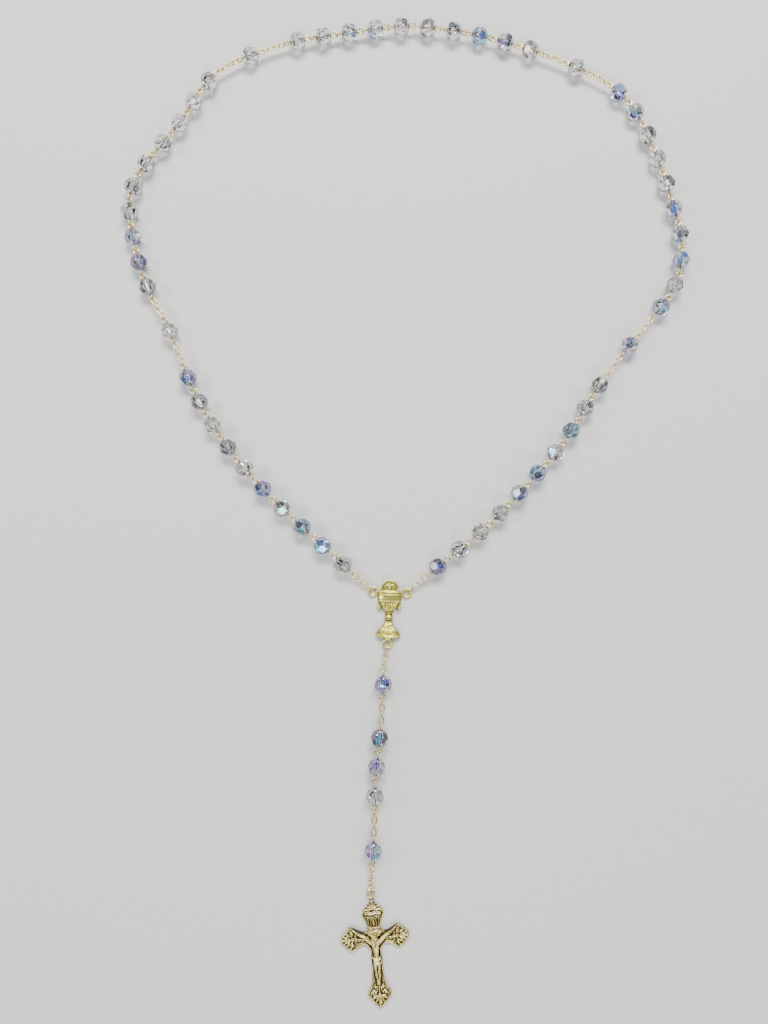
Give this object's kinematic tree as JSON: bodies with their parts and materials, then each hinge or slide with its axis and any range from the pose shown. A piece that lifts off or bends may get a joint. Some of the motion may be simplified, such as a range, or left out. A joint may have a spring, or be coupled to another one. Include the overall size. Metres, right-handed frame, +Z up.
{
  "type": "five-decade rosary",
  "caption": "Rosary of faceted crystal beads on looped wire pins and chain, with a chalice-shaped centre medal and a hanging crucifix.",
  "frame": {"origin": "centre of the medal's flat back, on the table", "axes": "+Y from the medal to the top of the loop, +X to the right seen from above, +Z up from the table"},
  "size_m": [0.2082, 0.3545, 0.0064],
  "materials": {
    "crystal": "clear faceted crystal with a faint rainbow coating",
    "gold_wire": "polished gold-tone plated wire",
    "gold_medal": "satin yellow gold-tone casting",
    "antique_gold": "antiqued gold-tone casting with dark recesses"
  },
  "bodies": {
    "medal": {"chalice_medal_body": "gold_medal"},
    "left_chain_1": {"left_chain_1": "gold_wire"},
    "left_decade_lower_a": {"left_decade_lower_a_beads": "crystal", "left_decade_lower_a_pins": "gold_wire"},
    "left_decade_lower_b": {"left_decade_lower_b_beads": "crystal", "left_decade_lower_b_pins": "gold_wire"},
    "left_chain_2": {"left_chain_2": "gold_wire"},
    "left_our_father_1": {"left_our_father_1_pin": "gold_wire"},
    "left_our_father_1_bead_body": {"left_our_father_1_bead": "crystal"},
    "left_chain_3": {"left_chain_3": "gold_wire"},
    "left_decade_upper_a": {"left_decade_upper_a_beads": "crystal", "left_decade_upper_a_pins": "gold_wire"},
    "left_decade_upper_b": {"left_decade_upper_b_beads": "crystal", "left_decade_upper_b_pins": "gold_wire"},
    "left_chain_4": {"left_chain_4": "gold_wire"},
    "left_our_father_2": {"left_our_father_2_pin": "gold_wire"},
    "left_our_father_2_bead_body": {"left_our_father_2_bead": "crystal"},
    "left_chain_5": {"left_chain_5": "gold_wire"},
    "left_top_decade_half": {"left_top_decade_half_beads": "crystal", "left_top_decade_half_pins": "gold_wire"},
    "right_chain_1": {"right_chain_1": "gold_wire"},
    "right_decade_lower_a": {"right_decade_lower_a_beads": "crystal", "right_decade_lower_a_pins": "gold_wire"},
    "right_decade_lower_b": {"right_decade_lower_b_beads": "crystal", "right_decade_lower_b_pins": "gold_wire"},
    "right_chain_2": {"right_chain_2": "gold_wire"},
    "right_our_father_1": {"right_our_father_1_pin": "gold_wire"},
    "right_our_father_1_bead_body": {"right_our_father_1_bead": "crystal"},
    "right_chain_3": {"right_chain_3": "gold_wire"},
    "right_decade_upper_a": {"right_decade_upper_a_beads": "crystal", "right_decade_upper_a_pins": "gold_wire"},
    "right_decade_upper_b": {"right_decade_upper_b_beads": "crystal", "right_decade_upper_b_pins": "gold_wire"},
    "right_chain_4": {"right_chain_4": "gold_wire"},
    "right_our_father_2": {"right_our_father_2_pin": "gold_wire"},
    "right_our_father_2_bead_body": {"right_our_father_2_bead": "crystal"},
    "right_chain_5": {"right_chain_5": "gold_wire"},
    "right_top_decade_half": {"right_top_decade_half_beads": "crystal", "right_top_decade_half_pins": "gold_wire"},
    "pendant_chain_1": {"pendant_chain_1": "gold_wire"},
    "pendant_our_father_1": {"pendant_our_father_1_pin": "gold_wire"},
    "pendant_our_father_1_bead_body": {"pendant_our_father_1_bead": "crystal"},
    "pendant_chain_2": {"pendant_chain_2": "gold_wire"},
    "pendant_hail_mary_1": {"pendant_hail_mary_1_pin": "gold_wire"},
    "pendant_hail_mary_1_bead_body": {"pendant_hail_mary_1_bead": "crystal"},
    "pendant_hail_mary_2": {"pendant_hail_mary_2_pin": "gold_wire"},
    "pendant_hail_mary_2_bead_body": {"pendant_hail_mary_2_bead": "crystal"},
    "pendant_hail_mary_3": {"pendant_hail_mary_3_pin": "gold_wire"},
    "pendant_hail_mary_3_bead_body": {"pendant_hail_mary_3_bead": "crystal"},
    "pendant_chain_3": {"pendant_chain_3": "gold_wire"},
    "pendant_our_father_2": {"pendant_our_father_2_pin": "gold_wire"},
    "pendant_our_father_2_bead_body": {"pendant_our_father_2_bead": "crystal"},
    "pendant_chain_4": {"pendant_chain_4": "gold_wire"},
    "jump_ring": {"jump_ring": "gold_wire"},
    "crucifix": {"crucifix": "antique_gold"}
  },
  "joints": [
    {"name": "left_chain_1_swing", "type": "hinge", "parent": "medal", "child": "left_chain_1", "pos_m": [-0.00655, 0.00755, 0.00098], "axis": [0, 0, 1], "range_deg": [0, 45]},
    {"name": "left_decade_lower_a_swing", "type": "hinge", "parent": "left_chain_1", "child": "left_decade_lower_a", "pos_m": [-0.01296, 0.01279, 0.00316], "axis": [0, 0, 1], "range_deg": [0, 45]},
    {"name": "left_decade_lower_b_swing", "type": "hinge", "parent": "left_decade_lower_a", "child": "left_decade_lower_b", "pos_m": [-0.05022, 0.04463, 0.0032], "axis": [0, 0, 1], "range_deg": [0, 45]},
    {"name": "left_chain_2_swing", "type": "hinge", "parent": "left_decade_lower_b", "child": "left_chain_2", "pos_m": [-0.07803, 0.08472, 0.0032], "axis": [0, 0, 1], "range_deg": [0, 45]},
    {"name": "left_our_father_1_swing", "type": "hinge", "parent": "left_chain_2", "child": "left_our_father_1", "pos_m": [-0.08131, 0.09262, 0.0032], "axis": [0, 0, -1], "range_deg": [-45, 45]},
    {"name": "left_our_father_1_bead_spin", "type": "hinge", "parent": "left_our_father_1", "child": "left_our_father_1_bead_body", "pos_m": [-0.08377, 0.09726, 0.0032], "axis": [-0.4688, 0.8833, 0], "continuous": true},
    {"name": "left_chain_3_swing", "type": "hinge", "parent": "left_our_father_1", "child": "left_chain_3", "pos_m": [-0.08591, 0.10134, 0.0032], "axis": [0, 0, -1], "range_deg": [-45, 45]},
    {"name": "left_decade_upper_a_swing", "type": "hinge", "parent": "left_chain_3", "child": "left_decade_upper_a", "pos_m": [-0.09055, 0.10854, 0.0032], "axis": [0, 0, -1], "range_deg": [-45, 45]},
    {"name": "left_decade_upper_b_swing", "type": "hinge", "parent": "left_decade_upper_a", "child": "left_decade_upper_b", "pos_m": [-0.09939, 0.15524, 0.0032], "axis": [0, 0, 1], "range_deg": [-45, 45]},
    {"name": "left_chain_4_swing", "type": "hinge", "parent": "left_decade_upper_b", "child": "left_chain_4", "pos_m": [-0.07243, 0.1961, 0.0032], "axis": [0, 0, 1], "range_deg": [-45, 45]},
    {"name": "left_our_father_2_swing", "type": "hinge", "parent": "left_chain_4", "child": "left_our_father_2", "pos_m": [-0.06528, 0.20077, 0.0032], "axis": [0, 0, -1], "range_deg": [-45, 45]},
    {"name": "left_our_father_2_bead_spin", "type": "hinge", "parent": "left_our_father_2", "child": "left_our_father_2_bead_body", "pos_m": [-0.06053, 0.20301, 0.0032], "axis": [0.9052, 0.425, 0], "continuous": true},
    {"name": "left_chain_5_swing", "type": "hinge", "parent": "left_our_father_2", "child": "left_chain_5", "pos_m": [-0.05637, 0.20498, 0.0032], "axis": [0, 0, -1], "range_deg": [-45, 45]},
    {"name": "left_top_decade_half_swing", "type": "hinge", "parent": "left_chain_5", "child": "left_top_decade_half", "pos_m": [-0.04842, 0.20813, 0.0032], "axis": [0, 0, 1], "range_deg": [-45, 45]},
    {"name": "right_chain_1_swing", "type": "hinge", "parent": "medal", "child": "right_chain_1", "pos_m": [0.00653, 0.00757, 0.00098], "axis": [0, 0, -1], "range_deg": [0, 45]},
    {"name": "right_decade_lower_a_swing", "type": "hinge", "parent": "right_chain_1", "child": "right_decade_lower_a", "pos_m": [0.01257, 0.01324, 0.00316], "axis": [0, 0, -1], "range_deg": [0, 45]},
    {"name": "right_decade_lower_b_swing", "type": "hinge", "parent": "right_decade_lower_a", "child": "right_decade_lower_b", "pos_m": [0.04753, 0.04748, 0.0032], "axis": [0, 0, -1], "range_deg": [0, 45]},
    {"name": "right_chain_2_swing", "type": "hinge", "parent": "right_decade_lower_b", "child": "right_chain_2", "pos_m": [0.07444, 0.08837, 0.0032], "axis": [0, 0, -1], "range_deg": [0, 45]},
    {"name": "right_our_father_1_swing", "type": "hinge", "parent": "right_chain_2", "child": "right_our_father_1", "pos_m": [0.0794, 0.09534, 0.0032], "axis": [0, 0, 1], "range_deg": [-45, 45]},
    {"name": "right_our_father_1_bead_spin", "type": "hinge", "parent": "right_our_father_1", "child": "right_our_father_1_bead_body", "pos_m": [0.08257, 0.09952, 0.0032], "axis": [0.604, 0.797, 0], "continuous": true},
    {"name": "right_chain_3_swing", "type": "hinge", "parent": "right_our_father_1", "child": "right_chain_3", "pos_m": [0.08535, 0.10319, 0.0032], "axis": [0, 0, 1], "range_deg": [-45, 45]},
    {"name": "right_decade_upper_a_swing", "type": "hinge", "parent": "right_chain_3", "child": "right_decade_upper_a", "pos_m": [0.09071, 0.10992, 0.0032], "axis": [0, 0, 1], "range_deg": [-45, 45]},
    {"name": "right_decade_upper_b_swing", "type": "hinge", "parent": "right_decade_upper_a", "child": "right_decade_upper_b", "pos_m": [0.09664, 0.1557, 0.0032], "axis": [0, 0, -1], "range_deg": [-45, 45]},
    {"name": "right_chain_4_swing", "type": "hinge", "parent": "right_decade_upper_b", "child": "right_chain_4", "pos_m": [0.07312, 0.19785, 0.0032], "axis": [0, 0, -1], "range_deg": [-45, 45]},
    {"name": "right_our_father_2_swing", "type": "hinge", "parent": "right_chain_4", "child": "right_our_father_2", "pos_m": [0.06556, 0.20183, 0.0032], "axis": [0, 0, 1], "range_deg": [-45, 45]},
    {"name": "right_our_father_2_bead_spin", "type": "hinge", "parent": "right_our_father_2", "child": "right_our_father_2_bead_body", "pos_m": [0.06069, 0.2038, 0.0032], "axis": [-0.9267, 0.3757, 0], "continuous": true},
    {"name": "right_chain_5_swing", "type": "hinge", "parent": "right_our_father_2", "child": "right_chain_5", "pos_m": [0.05643, 0.20554, 0.0032], "axis": [0, 0, 1], "range_deg": [-45, 45]},
    {"name": "right_top_decade_half_swing", "type": "hinge", "parent": "right_chain_5", "child": "right_top_decade_half", "pos_m": [0.04839, 0.20846, 0.0032], "axis": [0, 0, -1], "range_deg": [-45, 45]},
    {"name": "pendant_chain_1_swing", "type": "hinge", "parent": "medal", "child": "pendant_chain_1", "pos_m": [0.00004, -0.01171, 0.00098], "axis": [0, 0, 1], "range_deg": [-45, 45]},
    {"name": "pendant_our_father_1_swing", "type": "hinge", "parent": "pendant_chain_1", "child": "pendant_our_father_1", "pos_m": [-0.00101, -0.01991, 0.00315], "axis": [0, 0, -1], "range_deg": [-45, 45]},
    {"name": "pendant_our_father_1_bead_spin", "type": "hinge", "parent": "pendant_our_father_1", "child": "pendant_our_father_1_bead_body", "pos_m": [-0.00098, -0.02516, 0.00318], "axis": [0.0061, -1, 0.0045], "continuous": true},
    {"name": "pendant_chain_2_swing", "type": "hinge", "parent": "pendant_our_father_1", "child": "pendant_chain_2", "pos_m": [-0.00095, -0.02977, 0.0032], "axis": [0, 0, -1], "range_deg": [-45, 45]},
    {"name": "pendant_hail_mary_1_swing", "type": "hinge", "parent": "pendant_chain_2", "child": "pendant_hail_mary_1", "pos_m": [-0.001, -0.03832, 0.0032], "axis": [0, 0, -1], "range_deg": [-45, 45]},
    {"name": "pendant_hail_mary_1_bead_spin", "type": "hinge", "parent": "pendant_hail_mary_1", "child": "pendant_hail_mary_1_bead_body", "pos_m": [-0.00135, -0.04356, 0.0032], "axis": [-0.0662, -0.9978, 0], "continuous": true},
    {"name": "pendant_hail_mary_2_swing", "type": "hinge", "parent": "pendant_hail_mary_1", "child": "pendant_hail_mary_2", "pos_m": [-0.00166, -0.0481, 0.0032], "axis": [0, 0, 1], "range_deg": [-45, 45]},
    {"name": "pendant_hail_mary_2_bead_spin", "type": "hinge", "parent": "pendant_hail_mary_2", "child": "pendant_hail_mary_2_bead_body", "pos_m": [-0.00191, -0.05334, 0.0032], "axis": [-0.0473, -0.9989, 0], "continuous": true},
    {"name": "pendant_hail_mary_3_swing", "type": "hinge", "parent": "pendant_hail_mary_2", "child": "pendant_hail_mary_3", "pos_m": [-0.00215, -0.05789, 0.0032], "axis": [0, 0, 1], "range_deg": [-45, 45]},
    {"name": "pendant_hail_mary_3_bead_spin", "type": "hinge", "parent": "pendant_hail_mary_3", "child": "pendant_hail_mary_3_bead_body", "pos_m": [-0.00202, -0.06314, 0.0032], "axis": [0.0243, -0.9997, 0], "continuous": true},
    {"name": "pendant_chain_3_swing", "type": "hinge", "parent": "pendant_hail_mary_3", "child": "pendant_chain_3", "pos_m": [-0.00191, -0.06774, 0.0032], "axis": [0, 0, 1], "range_deg": [-45, 45]},
    {"name": "pendant_our_father_2_swing", "type": "hinge", "parent": "pendant_chain_3", "child": "pendant_our_father_2", "pos_m": [-0.00182, -0.07629, 0.0032], "axis": [0, 0, -1], "range_deg": [-45, 45]},
    {"name": "pendant_our_father_2_bead_spin", "type": "hinge", "parent": "pendant_our_father_2", "child": "pendant_our_father_2_bead_body", "pos_m": [-0.00191, -0.08154, 0.0032], "axis": [-0.0155, -0.9999, 0], "continuous": true},
    {"name": "pendant_chain_4_swing", "type": "hinge", "parent": "pendant_our_father_2", "child": "pendant_chain_4", "pos_m": [-0.00198, -0.08615, 0.00327], "axis": [0, 0, -1], "range_deg": [-45, 45]},
    {"name": "jump_ring_swing", "type": "hinge", "parent": "pendant_chain_4", "child": "jump_ring", "pos_m": [-0.0021, -0.09235, 0.00179], "axis": [-0.4996, -0.1385, 0.8551], "range_deg": [-20, 20]},
    {"name": "crucifix_swing", "type": "hinge", "parent": "jump_ring", "child": "crucifix", "pos_m": [-0.00214, -0.09539, 0.00124], "axis": [-0.9903, -0.1392, 0], "range_deg": [0, 60]}
  ]
}
